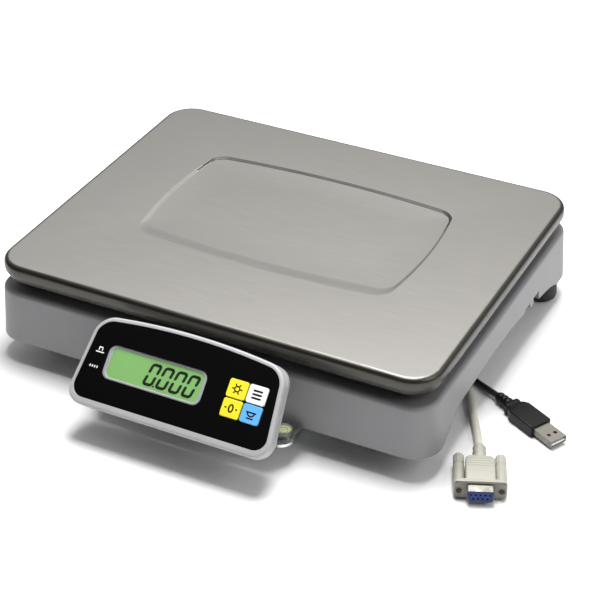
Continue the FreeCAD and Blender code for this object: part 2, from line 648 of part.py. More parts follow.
def make_bracket():
    """The steel bracket: a plate with a folded edge, hinge ears, a riser and a flange."""
    floor = "(bracket_top - bracket_sheet)"
    plate = place(slab(("bracket_right - bracket_left", "bracket_back - bracket_front",
                        "bracket_corner"), floor, "bracket_top"),
                  "(bracket_left + bracket_right) / 2", "(bracket_back + bracket_front) / 2", 0)
    fold = box(1.2, 11, "bracket_sheet + 2", "bracket_right - 1.2", "bracket_front + 9.5", floor)
    riser = box(120, "bracket_sheet", "chassis_bottom - bracket_top + bracket_sheet", -60,
                "bracket_back - bracket_sheet", floor)
    flange = box(120, 20, "bracket_sheet", -60, "bracket_back - bracket_sheet",
                 "chassis_bottom - bracket_sheet")
    bolt_holes = [cylinder(1.6, 6, x, "bracket_back + 10", "chassis_bottom - 4")
                  for x in (-40, 45)]
    ears = []
    for right in (-1, 1):
        inner = size("knuckle_reach") + size("knuckle_width") / 2 + 0.4
        low = inner if right > 0 else -inner - size("ear_sheet")
        ears.append(box("ear_sheet", "2 * barrel_radius", "hinge_z - bracket_top + 0.5", low,
                        "hinge_y - barrel_radius", "bracket_top - 0.5"))
        ears.append(cylinder("barrel_radius", "ear_sheet", low, "hinge_y", "hinge_z",
                             (0, 1, 0), 90))
    pin_hole = cylinder("pin_radius", 100, -50, "hinge_y", "hinge_z", (0, 1, 0), 90)
    body = cut(fuse(plate, fold, riser, flange, *ears), pin_hole, *bolt_holes)
    keep(body, "display_bracket")
    keep(cylinder("pin_radius", "2 * knuckle_reach + knuckle_width + 8",
                  "0 - knuckle_reach - knuckle_width / 2 - 4", "hinge_y", "hinge_z",
                  (0, 1, 0), 90), "hinge_pin")
    bolts = [fuse(cylinder(1.5, 7, x, "bracket_back + 10", "chassis_bottom - 2.5"),
                  cylinder(3, 2, x, "bracket_back + 10", "chassis_bottom - bracket_sheet - 2"),
                  cylinder(2.8, 2.2, x, "bracket_back + 10", "chassis_bottom + chassis_sheet"))
             for x in (-40, 45)]
    keep(group(*bolts), "bracket_bolts")


def make_level():
    """The bubble level on the bracket: a cup, its fluid with a bubble, and a lens."""
    cup = cylinder("level_radius", "level_height", "level_x", "level_y", "bracket_top")
    well = cylinder("level_radius - 0.8", "level_height", "level_x", "level_y",
                    "bracket_top + 1.2")
    keep(cut(cup, well), "level_cup")
    fluid = cylinder("level_radius - 0.85", "level_height - 2.4", "level_x", "level_y",
                     "bracket_top + 1.2")
    keep(fluid, "level_fluid")
    lens = cylinder("level_radius - 0.85", 1.1, "level_x", "level_y",
                    "bracket_top + level_height - 1.15")
    keep(lens, "level_lens")


def make_display_lead():
    """The lead from the display's hinge into the housing, held at both ends."""
    route = [(-38.5, -113.2, 24.4), (-45, -113.3, 24.7), (-50, -110, 26), (-50.3, -103.5, 26.9),
             (-50, -97, 27), (-50, -89, 27)]
    cord_tube(route, 3, "display_lead")
    wall = "middle - pan_depth / 2"
    neck = cylinder(3.4, 6, -50, wall + " + 3", 27, (1, 0, 0), 90)
    flange = cylinder(5, 1.6, -50, wall + " - 2.1", 27, (1, 0, 0), 90)
    bore = cylinder(1.5, 12, -50, wall + " + 6", 27, (1, 0, 0), 90)
    keep(cut(fuse(neck, flange), bore), "display_lead_grommet")


def lay_plug(thing, spot, heading):
    """Put a piece that was built along +X in a plug's own place on the surface."""
    lying = Placement(Vector(*spot), Rotation(Vector(0, 0, 1), heading))
    return moved(thing, lying)


def coil_solid(label, middle, mean_radius, turns, layers, diameter):
    """The outer shape of a wound coil, as one ring that lies on the surface."""
    half_width = turns / layers * diameter / 2 + diameter / 2
    height = layers * diameter
    ring = cut(cylinder(mean_radius + half_width, height, middle[0], middle[1], 0),
               cylinder(mean_radius - half_width, height + 2, middle[0], middle[1], -1))
    keep(ring, label)
    return 2 * math.pi * mean_radius * turns


def d_outline(width, height, start, length):
    """A D-shaped connector prism along +X, wider at the top."""
    half = width / 2
    points = [Vector(start, -half + 0.9, -height / 2), Vector(start, half - 0.9, -height / 2),
              Vector(start, half, height / 2), Vector(start, -half, height / 2)]
    wire = Part.makePolygon(points + points[:1])
    prism = Part.Face(wire).extrude(Vector(length, 0, 0))
    long_edges = [edge for edge in prism.Edges if edge.BoundBox.XLength > 0.9 * length]
    return shape_feature(prism.makeFillet(1.8, long_edges))


def make_serial_plug(spot, heading):
    """The nine-way plug: hood with its relief, two thumbscrews, metal front and insert."""
    relief = cone(3.4, 4.4, 14, 0, 0, 0, (0, 1, 0), 90)
    hood = fuse(relief, box(24.8, 17.6, 13, 13.5, -8.8, -6.5),
                box(2.3, 31, 12.5, 38.3, -15.5, -6.25))
    jack_holes = [cylinder(1.5, 8, 36, y, 0, (0, 1, 0), 90) for y in (-12.5, 12.5)]
    hood_hollow = d_outline(15.9, 7.5, 32, 10)
    keep(lay_plug(cut(hood, hood_hollow, *jack_holes), spot, heading), "serial_hood")
    plate = box(0.8, 31, 12.5, 40.6, -15.5, -6.25)
    shell = fuse(plate, d_outline(16.9, 8.4, 41, 6))
    hollow = d_outline(16.0, 7.5, 38, 12)
    keep(lay_plug(cut(shell, hollow, *jack_holes), spot, heading), "serial_flange")
    insert = d_outline(15.8, 7.3, 32.1, 15)
    rows = [(5, 1.4, 2.77), (4, -1.4, 2.77)]
    pins = [cylinder(0.6, 6, 43, (n - (count - 1) / 2) * pitch, up, (0, 1, 0), 90)
            for count, up, pitch in rows for n in range(count)]
    keep(lay_plug(cut(insert, *pins), spot, heading), "serial_insert")
    for name, y in (("left", 12.5), ("right", -12.5)):
        screw = fuse(cylinder(3.4, 28, 9.9, y, 0, (0, 1, 0), 90),
                     cylinder(1.4, 4.5, 37.5, y, 0, (0, 1, 0), 90))
        keep(lay_plug(screw, spot, heading), "thumbscrew_" + name)


def make_usb_plug(spot, heading):
    """The USB plug: overmould with its relief, metal shell and tongue."""
    relief = cone(3.2, 3.9, 11.5, 0, 0, 0, (0, 1, 0), 90)
    grip = place(slab((29, 16, 2.5), "0 - 4", 4), 25.5, 0, 0)
    socket = box(3, 11.9, 4.4, 37.5, -5.95, -2.2)
    keep(lay_plug(cut(fuse(relief, grip), socket), spot, heading), "usb_overmould")
    shell = cut(box(18.5, 11.9, 4.4, 37.5, -5.95, -2.2), box(19, 11.3, 3.8, 38.5, -5.65, -1.9),
                *[box(2.4, 2.2, 2, 48.5, y, 1) for y in (-3.6, 1.4)])
    keep(lay_plug(shell, spot, heading), "usb_shell")
    tongue = box(16.8, 11.2, 1.8, 38.5, -5.6, -1.85)
    keep(lay_plug(tongue, spot, heading), "usb_tongue")


def make_serial_cord():
    """The serial cord: down from its gland, round its coil, and out under the arch."""
    diameter = size("serial_diameter")
    first = [(20, 22, 29), (33, 22.3, 28), (45, 22.9, 20), (56, 23.6, 9.5), (66.5, 24.3, 3.2),
             (76, 24.5, 2.5)]
    last = [(82.7, 24.1, 7.5), (96, 21.5, 5.6), (110.5, 19.2, 3.2), (124, 15.2, 2.5),
            (134.3, 7.2, 2.5), (141.2, -4.0, 2.5), (147, -16, 2.5), (153.5, -27.5, 2.5),
            (160.4, -40, 3.2), (166.6, -53.6, 6.5)]
    lengths = [cord_tube(first, diameter, "serial_cord_inner")[1],
               coil_solid("serial_cord_coil", (76, -14), 29.8, 7, 2, diameter),
               cord_tube(last, diameter, "serial_cord_outer")[1]]
    print("serial cord length %.0f" % sum(lengths))
    make_serial_plug(last[-1], -67.2)


def make_usb_cord():
    """The USB cord: down from its gland, round its coil, and out under the arch."""
    diameter = size("usb_diameter")
    first = [(20, 62, 29), (32.5, 61, 28), (44, 56.5, 20.5), (54, 50, 10.5), (64.5, 43.2, 3.4),
             (75.9, 37.8, 2)]
    last = [(75.9, 37.8, 14), (88.5, 33.4, 10.6), (102, 29.7, 6.2), (115, 25.9, 3),
            (127, 20.2, 2), (138, 13.2, 2), (148, 8.0, 2.5), (157.5, 2.2, 4)]
    lengths = [cord_tube(first, diameter, "usb_cord_inner")[1],
               coil_solid("usb_cord_coil", (86, 64), 23.6, 9, 4, diameter),
               cord_tube(last, diameter, "usb_cord_outer")[1]]
    print("usb cord length %.0f" % sum(lengths))
    make_usb_plug(last[-1], -28.5)


def check_and_write():
    """Check every object, then write each sub-part to its own file."""
    doc.recompute()
    for thing in doc.Objects:
        if "Invalid" in thing.State or "Error" in thing.State:
            raise RuntimeError("%s (%s) did not recompute: %s" % (thing.Name, thing.Label, thing.State))
    os.makedirs("parts", exist_ok=True)
    whole = Part.makeCompound([thing.Shape for thing in parts])
    for thing in parts:
        shape = thing.Shape
        if shape.isNull() or not shape.isValid() or not shape.Solids:
            raise RuntimeError("%s has no valid solid" % thing.Label)
        shape.exportStep("parts/%s.step" % thing.Label)
    print(len(parts), "nodes;", whole.BoundBox)


fill_sheet()
make_pan()
make_housing()
make_chassis()
make_feet()
make_load_cell()
make_electronics()
make_glands()
make_display()
make_bracket()
make_level()
make_display_lead()
make_serial_cord()
make_usb_cord()
check_and_write()
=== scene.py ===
"""The looks of the checkout scale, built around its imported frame. Lengths are in metres."""
import json
import math

import bmesh
import bpy
from mathutils import Matrix, Vector


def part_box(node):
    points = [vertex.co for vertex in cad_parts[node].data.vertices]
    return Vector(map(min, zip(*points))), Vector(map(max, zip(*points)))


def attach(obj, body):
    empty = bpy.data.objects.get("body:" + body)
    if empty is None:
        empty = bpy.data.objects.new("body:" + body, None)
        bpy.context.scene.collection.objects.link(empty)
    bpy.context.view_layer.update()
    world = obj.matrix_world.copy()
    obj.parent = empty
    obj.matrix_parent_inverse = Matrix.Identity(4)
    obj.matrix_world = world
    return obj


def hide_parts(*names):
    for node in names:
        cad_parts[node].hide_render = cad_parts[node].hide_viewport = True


MM = 0.001
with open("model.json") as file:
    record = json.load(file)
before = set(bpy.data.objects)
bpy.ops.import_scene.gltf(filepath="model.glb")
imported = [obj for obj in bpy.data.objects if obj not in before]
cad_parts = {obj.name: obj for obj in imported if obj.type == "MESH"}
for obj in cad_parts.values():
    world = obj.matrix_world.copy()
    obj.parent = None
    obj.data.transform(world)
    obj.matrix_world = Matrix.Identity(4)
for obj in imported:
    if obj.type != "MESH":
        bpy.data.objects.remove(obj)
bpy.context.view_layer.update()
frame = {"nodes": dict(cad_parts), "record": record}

# Places that the frame gives
PAN_LOW, PAN_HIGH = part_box("pan")
PAN_MIDDLE = (PAN_LOW + PAN_HIGH) / 2
LEVEL_LOW, LEVEL_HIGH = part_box("level_cup")


# ---------------------------------------------------------------- camera, light and floor

CAMERA_TARGET = Vector((43.3, -47.4, 72.0)) * MM
CAMERA_DISTANCE = 1.116
CAMERA_AZIMUTH = math.radians(26.53)
CAMERA_ELEVATION = math.radians(33.66)
CAMERA_LENS = 110.15
SKY_BRIGHT = 1.0
SKY_DIM = 0.06
SKY_RISE = (0.15, 0.5)
SKY_TURN = (-0.35, 0.5)
SKY_FRONT_SHARE = 0.08
FLOOR_HALF = 6
FLOOR_DROP = 0.0002


def make_camera():
    """The camera, from the front right and above."""
    data = bpy.data.cameras.new("camera")
    data.lens = CAMERA_LENS
    data.sensor_width = 36
    camera = bpy.data.objects.new("camera", data)
    bpy.context.collection.objects.link(camera)
    back = Vector((math.sin(CAMERA_AZIMUTH) * math.cos(CAMERA_ELEVATION),
                   -math.cos(CAMERA_AZIMUTH) * math.cos(CAMERA_ELEVATION),
                   math.sin(CAMERA_ELEVATION)))
    camera.location = CAMERA_TARGET + back * CAMERA_DISTANCE
    camera.rotation_euler = back.to_track_quat("Z", "Y").to_euler()
    data.clip_start = 0.05
    bpy.context.scene.camera = camera


def area_light(name, place, target, size, power):
    """A square soft light that faces its target."""
    data = bpy.data.lights.new(name, "AREA")
    data.shape = "SQUARE"
    data.size = size
    data.energy = power
    light = bpy.data.objects.new(name, data)
    bpy.context.collection.objects.link(light)
    light.location = place
    light.rotation_euler = (Vector(place) - Vector(target)).to_track_quat("Z", "Y").to_euler()


def make_surround():
    """A sky that is bright behind and overhead, and dim in front and at the horizon."""
    world = bpy.data.worlds.new("surround")
    bpy.context.scene.world = world
    world.use_nodes = True
    nodes, links = world.node_tree.nodes, world.node_tree.links
    direction = nodes.new("ShaderNodeTexCoord")
    parts = nodes.new("ShaderNodeSeparateXYZ")
    links.new(direction.outputs["Generated"], parts.inputs["Vector"])

    def ramp(axis, span, low):
        step = nodes.new("ShaderNodeMapRange")
        step.interpolation_type = "SMOOTHSTEP"
        step.inputs["From Min"].default_value = span[0]
        step.inputs["From Max"].default_value = span[1]
        step.inputs["To Min"].default_value = low
        step.inputs["To Max"].default_value = 1
        links.new(parts.outputs[axis], step.inputs["Value"])
        return step.outputs["Result"]

    product = nodes.new("ShaderNodeMath")
    product.operation = "MULTIPLY"
    links.new(ramp("Z", SKY_RISE, 0), product.inputs[0])
    links.new(ramp("Y", SKY_TURN, SKY_FRONT_SHARE), product.inputs[1])
    total = nodes.new("ShaderNodeMath")
    total.operation = "MULTIPLY_ADD"
    links.new(product.outputs["Value"], total.inputs[0])
    total.inputs[1].default_value = SKY_BRIGHT
    total.inputs[2].default_value = SKY_DIM
    background = nodes["Background"]
    background.inputs["Color"].default_value = (1, 1, 1, 1)
    links.new(total.outputs["Value"], background.inputs["Strength"])


def make_studio():
    """Soft light from above and the right, a pale floor and a plain surround."""
    area_light("overhead", (0.02, 0.1, 0.95), (0.02, 0.03, 0), size=0.45, power=13.5)
    area_light("right", (1.1, -0.1, 0.85), (0, 0, 0.04), size=0.6, power=3.2)
    make_surround()
    bpy.context.scene.view_settings.view_transform = "Standard"
    mesh = bpy.data.meshes.new("floor")
    corners = [(-1, -1), (1, -1), (1, 1), (-1, 1)]
    mesh.from_pydata([(FLOOR_HALF * x, FLOOR_HALF * y, 0) for x, y in corners], [], [(0, 1, 2, 3)])
    floor = bpy.data.objects.new("floor", mesh)
    bpy.context.collection.objects.link(floor)
    floor.location.z = -FLOOR_DROP
    floor.data.materials.append(Material("floor_white", (0.95, 0.95, 0.95), 0.7).made)


# ---------------------------------------------------------------- materials

PAN_STEEL = (0.30, 0.29, 0.273)
# Painted shade: the skirt's steel is darkened where its reflections are dark
SKIRT_PAINTED_SHADE = (0.075, 0.072, 0.064)
# Painted reflection: the hem's steel is lighter where it reflects more light
HEM_PAINTED_REFLECTION = (0.13, 0.128, 0.12)
BRUSHING = (0.05, 1, 1)
# Shares of the pan's height at which the painted shade and painted reflection on its edge change
HEM_TOP = 0.30
SKIRT_FOOT = 0.37
SKIRT_TOP = 0.984
FLAT_EDGE = 0.999


class Material:
    """A node material that starts from one colour and is built up in steps."""

    def __init__(self, name, color, roughness, metallic=0.0, coat=0.0, specular=0.5):
        self.made = bpy.data.materials.new(name)
        self.made.use_nodes = True
        self.nodes = self.made.node_tree.nodes
        self.links = self.made.node_tree.links
        self.shader = self.nodes["Principled BSDF"]
        self.color = color
        self.set("Base Color", (*color, 1))
        self.set("Roughness", roughness)
        self.set("Metallic", metallic)
        self.set("Coat Weight", coat)
        self.set("Specular IOR Level", specular)
        self.height = None

    def set(self, socket, value):
        """Set a number or colour on the shader itself."""
        self.shader.inputs[socket].default_value = value

    def coordinates(self, stretch=(1, 1, 1)):
        """Object coordinates, stretched along each axis."""
        source = self.nodes.new("ShaderNodeTexCoord")
        mapping = self.nodes.new("ShaderNodeMapping")
        mapping.inputs["Scale"].default_value = stretch
        self.links.new(source.outputs["Object"], mapping.inputs["Vector"])
        return mapping.outputs["Vector"]

    def noise(self, scale, detail=3, stretch=(1, 1, 1)):
        """A noise whose scale is in cycles a metre."""
        texture = self.nodes.new("ShaderNodeTexNoise")
        texture.inputs["Scale"].default_value = scale
        texture.inputs["Detail"].default_value = detail
        self.links.new(self.coordinates(stretch), texture.inputs["Vector"])
        return texture.outputs["Fac"]

    def spread(self, value, low, high):
        """Spread a 0 to 1 value between two numbers."""
        step = self.nodes.new("ShaderNodeMapRange")
        step.inputs["From Min"].default_value = 0.3
        step.inputs["From Max"].default_value = 0.7
        step.inputs["To Min"].default_value = low
        step.inputs["To Max"].default_value = high
        self.links.new(value, step.inputs["Value"])
        return step.outputs["Result"]

    def mottle(self, scale, amount, detail=3, stretch=(1, 1, 1)):
        """Vary the colour a little, lighter and darker."""
        ramp = self.nodes.new("ShaderNodeMix")
        ramp.data_type = "RGBA"
        ramp.inputs["A"].default_value = (*[part * (1 - amount) for part in self.color], 1)
        ramp.inputs["B"].default_value = (*[min(1, part * (1 + amount)) for part in self.color], 1)
        self.links.new(self.spread(self.noise(scale, detail, stretch), 0, 1), ramp.inputs["Factor"])
        self.links.new(ramp.outputs["Result"], self.shader.inputs["Base Color"])
        return self

    def tint(self, color):
        """Multiply the colour so far by another."""
        product = self.nodes.new("ShaderNodeMix")
        product.data_type = "RGBA"
        product.blend_type = "MULTIPLY"
        product.inputs["Factor"].default_value = 1
        before = self.shader.inputs["Base Color"].links[0].from_socket
        self.links.new(before, product.inputs["A"])
        self.links.new(color, product.inputs["B"])
        self.links.new(product.outputs["Result"], self.shader.inputs["Base Color"])

    def rough(self, scale, low, high, stretch=(1, 1, 1)):
        """Vary the roughness between two values."""
        value = self.spread(self.noise(scale, 2, stretch), low, high)
        self.links.new(value, self.shader.inputs["Roughness"])
        return self

    def bump(self, scale, distance, strength=1.0, detail=2, stretch=(1, 1, 1)):
        """Add a fine surface relief; its distance is in metres."""
        node = self.nodes.new("ShaderNodeBump")
        node.inputs["Strength"].default_value = strength
        node.inputs["Distance"].default_value = distance
        self.links.new(self.noise(scale, detail, stretch), node.inputs["Height"])
        if self.height is not None:
            self.links.new(self.height, node.inputs["Normal"])
        self.height = node.outputs["Normal"]
        self.links.new(self.height, self.shader.inputs["Normal"])
        return self


def moulded(name, color, roughness=0.5, grain=1400, depth=0.00002, specular=0.5):
    """Moulded plastic with a fine spark-eroded grain."""
    made = Material(name, color, roughness, specular=specular)
    made.mottle(60, 0.02)
    made.rough(grain, roughness - 0.06, roughness + 0.06)
    made.bump(grain, depth, 0.5)
    return made.made


def rubbery(name, color, roughness=0.7):
    """Matt rubber or cable jacket."""
    made = Material(name, color, roughness)
    made.mottle(90, 0.06)
    made.rough(500, roughness - 0.08, roughness + 0.08)
    made.bump(900, 0.00003, 0.4)
    return made.made


def brush(made, roughness, swing, amount, depth):
    """Brush a metal along X, in its colour, roughness and relief."""
    made.mottle(900, amount, 4, BRUSHING)
    made.rough(900, roughness - swing, roughness + swing, BRUSHING)
    made.bump(1500, depth, 0.35, 2, BRUSHING)


def brushed(name, color, roughness, amount=0.03, depth=0.000006, swing=0.06):
    """Metal brushed along X."""
    made = Material(name, color, roughness, metallic=1.0)
    brush(made, roughness, swing, amount, depth)
    return made.made


def share_of_pan(color):
    """What the pan's own colour is multiplied by to give another."""
    return (*[part / whole for part, whole in zip(color, PAN_STEEL)], 1)


def edge_painted_shade():
    """The pan's edge with painted light: painted dark reflection and shade where it is bent down,
    and a lighter painted reflection again on the hem.
    """
    made = Material("edge_painted_shade", PAN_STEEL, 0.37, metallic=1.0)
    brush(made, 0.37, 0.06, 0.02, 0.000002)
    height = made.nodes.new("ShaderNodeSeparateXYZ")
    made.links.new(made.coordinates(), height.inputs["Vector"])
    level = made.nodes.new("ShaderNodeMapRange")
    level.inputs["From Min"].default_value = PAN_LOW.z
    level.inputs["From Max"].default_value = PAN_HIGH.z
    made.links.new(height.outputs["Z"], level.inputs["Value"])
    tints = made.nodes.new("ShaderNodeValToRGB")
    made.links.new(level.outputs["Result"], tints.inputs["Fac"])
    stops = tints.color_ramp.elements
    stops[0].position = HEM_TOP
    stops[0].color = share_of_pan(HEM_PAINTED_REFLECTION)
    stops[1].position = FLAT_EDGE
    stops[1].color = (1, 1, 1, 1)
    for position in (SKIRT_FOOT, SKIRT_TOP):
        stops.new(position).color = share_of_pan(SKIRT_PAINTED_SHADE)
    made.tint(tints.outputs["Color"])
    return made.made


def plated(name, color, roughness=0.25):
    """Bright plated metal with faint handling marks."""
    made = Material(name, color, roughness, metallic=1.0)
    made.mottle(150, 0.04)
    made.rough(250, roughness - 0.08, roughness + 0.12)
    made.bump(600, 0.000008, 0.3)
    return made.made


def printed(name, color, roughness=0.35, coat=0.3, specular=0.5):
    """A glossy printed or painted surface."""
    made = Material(name, color, roughness, coat=coat, specular=specular)
    made.mottle(120, 0.02)
    made.bump(700, 0.000006, 0.3)
    return made.made


def painted_glow(name, color, strength):
    """A smooth surface with a little painted glow that stands in for light falling on it, as on the
    panel behind the digits.
    """
    made = Material(name, color, 0.3, coat=0.5)
    made.mottle(40, 0.05)
    made.set("Emission Color", (*color, 1))
    made.set("Emission Strength", strength)
    return made.made


def clear(name, color, opacity):
    """A clear glossy lens."""
    made = Material(name, color, 0.06)
    made.mottle(200, 0.05)
    made.bump(90, 0.00001, 0.2)
    made.set("Alpha", opacity)
    return made.made


def make_materials():
    """Every material by name; most are named after the record's slot that they finish."""
    return {
        "stainless": brushed("stainless", PAN_STEEL, 0.46, 0.01, 0.000001, 0.02),
        # Painted shade: near-black steel laid on the recess's back slope in place of its highlight
        "recess_painted_shade": brushed("recess_painted_shade", (0.07, 0.068, 0.064), 0.55, 0.01),
        # Painted reflection and shade on the pan's bent edge, by height
        "edge_painted_shade": edge_painted_shade(),
        "housing_grey": moulded("housing_grey", (0.25, 0.247, 0.256), 0.5),
        "zinc_steel": plated("zinc_steel", (0.36, 0.37, 0.38), 0.3),
        "screw_steel": plated("screw_steel", (0.66, 0.66, 0.66), 0.3),
        "black_rubber": rubbery("black_rubber", (0.018, 0.018, 0.018), 0.65),
        "aluminium_alloy": brushed("aluminium_alloy", (0.76, 0.77, 0.79), 0.38),
        "cast_aluminium": plated("cast_aluminium", (0.58, 0.58, 0.6), 0.5),
        "circuit_board": printed("circuit_board", (0.02, 0.16, 0.07), 0.4),
        "component_black": moulded("component_black", (0.03, 0.03, 0.03), 0.45),
        "component_white": moulded("component_white", (0.8, 0.8, 0.78), 0.4),
        "black_plastic": moulded("black_plastic", (0.025, 0.025, 0.025), 0.45),
        "display_grey": moulded("display_grey", (0.42, 0.42, 0.425), 0.42, 1800, 0.00001),
        "overlay_black": printed("overlay_black", (0.001, 0.001, 0.001), 0.4, 0.0, 0.12),
        "lcd_glass": clear("lcd_glass", (0.1, 0.12, 0.1), 0.04),
        # Painted light: the panel's glow stands in for light that the lens keeps off it
        "lcd_body": painted_glow("lcd_body", (0.205, 0.43, 0.135), 0.25),
        "key_yellow": printed("key_yellow", (0.93, 0.78, 0.03)),
        "key_white": printed("key_white", (0.96, 0.96, 0.96)),
        "key_blue": printed("key_blue", (0.14, 0.46, 0.92)),
        "bright_steel": plated("bright_steel", (0.72, 0.73, 0.74), 0.18),
        "level_plastic": moulded("level_plastic", (0.16, 0.17, 0.15), 0.25),
        # Painted light: the liquid glows to stand in for light coming through its cup
        "level_liquid": painted_glow("level_liquid", (0.50, 0.62, 0.08), 0.15),
        "clear_lens": clear("clear_lens", (0.93, 1.0, 0.85), 0.2),
        "cord_cream": rubbery("cord_cream", (0.56, 0.55, 0.47), 0.5),
        "hood_cream": moulded("hood_cream", (0.37, 0.36, 0.305), 0.5),
        "plug_nickel": plated("plug_nickel", (0.22, 0.21, 0.187), 0.52),
        # Painted shade: the thumbscrews' steel ends are coloured near-black, as the shade in their
        # holes
        "screw_end_painted_shade": plated("screw_end_painted_shade", (0.05, 0.048, 0.045), 0.5),
        "insert_blue": moulded("insert_blue", (0.01, 0.035, 0.16), 0.45, specular=0.3),
        "cord_black": rubbery("cord_black", (0.014, 0.014, 0.014), 0.4),
        "overmould_black": moulded("overmould_black", (0.005, 0.005, 0.005), 0.4, specular=0.2),
        "print_black": printed("print_black", (0.006, 0.006, 0.006), 0.6, 0.0, 0.2),
        "print_white": printed("print_white", (0.85, 0.85, 0.85), 0.5, 0.0),
        "digit_dark": printed("digit_dark", (0.006, 0.014, 0.005), 0.6, 0.0, 0.2),
        "window_grey": printed("window_grey", (0.42, 0.43, 0.44), 0.4, 0.1),
    }


def dress_frame(materials):
    """Give every CAD node that stays the finish of its slot."""
    for entry in frame["record"]["subparts"]:
        node = frame["nodes"][entry["node"]]
        node.data.materials.clear()
        node.data.materials.append(materials[entry["material_slot"]])


# ---------------------------------------------------------------- mesh helpers

CORNER_STEPS = 9
SIDE_STEPS = 12
SMALL_STEPS = 24


def add_piece(name, mesh, material, body, slot, *replaced, sharp=35):
    """Show a mesh as a piece that rides on a body and may stand for CAD nodes."""
    piece = bpy.data.objects.new(name, mesh)
    bpy.context.collection.objects.link(piece)
    mesh.materials.append(material)
    shade_smooth_but(mesh, sharp)
    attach(piece, body)
    if replaced:
        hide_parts(*replaced)
    return piece


def shade_smooth_but(mesh, degrees):
    """Shade smooth, with sharp edges where the surface turns by more than an angle."""
    mesh.shade_smooth()
    build = bmesh.new()
    build.from_mesh(mesh)
    for edge in build.edges:
        edge.smooth = edge.calc_face_angle(0) < math.radians(degrees)
    build.to_mesh(mesh)
    build.free()


def mesh_from(name, points, faces, placement=None):
    """A mesh from points in millimetres, with its faces turned outwards."""
    mesh = bpy.data.meshes.new(name)
    mesh.from_pydata([Vector(point) * MM for point in points], [], faces)
    build = bmesh.new()
    build.from_mesh(mesh)
    bmesh.ops.remove_doubles(build, verts=build.verts, dist=1e-7)
    bmesh.ops.recalc_face_normals(build, faces=build.faces)
    build.to_mesh(mesh)
    build.free()
    if placement:
        mesh.transform(placement)
    return mesh


def ring(half_x, half_y, corner, height, middle=(0, 0), bow=(0, 0)):
    """A rounded rectangle's points, counter-clockwise; its sides may bow outwards."""
    arcs = []
    for right, up, start in ((1, 1, 0), (-1, 1, 90), (-1, -1, 180), (1, -1, 270)):
        angles = [math.radians(start + 90 * step / CORNER_STEPS)
                  for step in range(CORNER_STEPS + 1)]
        arcs.append([(right * (half_x - corner) + corner * math.cos(angle),
                      up * (half_y - corner) + corner * math.sin(angle)) for angle in angles])
    flat = []
    for arc, following in zip(arcs, arcs[1:] + arcs[:1]):
        flat += arc
        flat += [Vector(arc[-1]).lerp(Vector(following[0]), step / SIDE_STEPS)
                 for step in range(1, SIDE_STEPS)]
    return [(middle[0] + x * (1 + bow[0] / half_x * (1 - (y / half_y) ** 2)),
             middle[1] + y * (1 + bow[1] / half_y * (1 - (x / half_x) ** 2)), height)
            for x, y in flat]


def circle(radius, height, steps, middle):
    """A level circle of points."""
    return [(middle[0] + radius * math.cos(2 * math.pi * step / steps),
             middle[1] + radius * math.sin(2 * math.pi * step / steps), height)
            for step in range(steps)]


def skin(rings, ends="closed"):
    """Points and faces through rings of equally many points; ends are closed, joined or open."""
    count = len(rings[0])
    points = [point for one in rings for point in one]
    rows = len(rings) if ends == "joined" else len(rings) - 1
    faces = []
    for row in range(rows):
        here, there = row * count, (row + 1) % len(rings) * count
        faces += [(here + step, here + (step + 1) % count, there + (step + 1) % count, there + step)
                  for step in range(count)]
    if ends == "closed":
        for first in (0, (len(rings) - 1) * count):
            hub = sum((Vector(point) for point in points[first:first + count]), Vector()) / count
            points.append(tuple(hub))
            faces += [(first + step, first + (step + 1) % count, len(points) - 1)
                      for step in range(count)]
    return points, faces


def turned(profile, steps, middle):
    """Points and faces of a piece turned about an upright axis, from (radius, height) pairs."""
    return skin([circle(radius, height, steps, middle) for radius, height in profile])


def round_steps(radius, steps=6):
    """How far in and how far down an edge round lies, from its top to its side."""
    angles = [math.pi / 2 * step / steps for step in range(steps + 1)]
    return [(radius * (1 - math.sin(angle)), radius * (1 - math.cos(angle))) for angle in angles]


def prisms(shapes, low, high):
    """Points and faces of flat shapes, each a list of (x, y) corners, raised between two heights."""
    points, faces = [], []
    for shape in shapes:
        first, count = len(points), len(shape)
        points += [(x, y, low) for x, y in shape] + [(x, y, high) for x, y in shape]
        faces.append(tuple(range(first, first + count)))
        faces.append(tuple(range(first + count, first + 2 * count)))
        faces += [(first + step, first + (step + 1) % count, first + count + (step + 1) % count,
                   first + count + step) for step in range(count)]
    return points, faces


def joined(*meshes):
    """Several sets of points and faces as one."""
    points, faces = [], []
    for more_points, more_faces in meshes:
        faces += [tuple(index + len(points) for index in face) for face in more_faces]
        points += more_points
    return points, faces


def bar(x, y, length, width, degrees=0):
    """A flat bar with pointed ends about a middle."""
    along = Vector((math.cos(math.radians(degrees)), math.sin(math.radians(degrees))))
    across = Vector((-along.y, along.x)) * width / 2
    reach = along * (length / 2)
    point = along * (width / 2)
    middle = Vector((x, y))
    return [middle + part for part in (-reach, point - reach - across, reach - point - across,
                                       reach, reach - point + across, point - reach + across)]


def strip(points, width):
    """Flat bars from point to point, overlapping a little at the corners."""
    bars = []
    for start, end in zip(points, points[1:]):
        start, end = Vector(start), Vector(end)
        turn = math.degrees(math.atan2(end.y - start.y, end.x - start.x))
        bars.append(bar(*((start + end) / 2), (end - start).length + width, width, turn))
    return bars


# ---------------------------------------------------------------- the pan

PAN_CORNER = 20
PAN_SHEET = 0.8
PAN_ROUND = 3.6
SKIRT_HEIGHT = 8
HEM_INSET = 2.75
RECESS_BACK = 8
RECESS_SIDE = 88
RECESS_END = 55
RECESS_CORNER = 9
RECESS_BOW = (5, 5.5)
RECESS_SOFT = 8
# Where the painted reflection and shade on the pan's bent edge begin
BEND_CLEAR = (12, 20)
BEND_DROP = 0.005
# Recess faces that lean forward more than this get painted shade
BACK_LEAN = -0.06
RECESS_SLOPE = ((-1.9, 1.0), (-1.5, 0.96), (-1.1, 0.84), (-0.7, 0.6), (-0.3, 0.3), (0.1, 0.1),
                (0.5, 0.02), (1, 0))


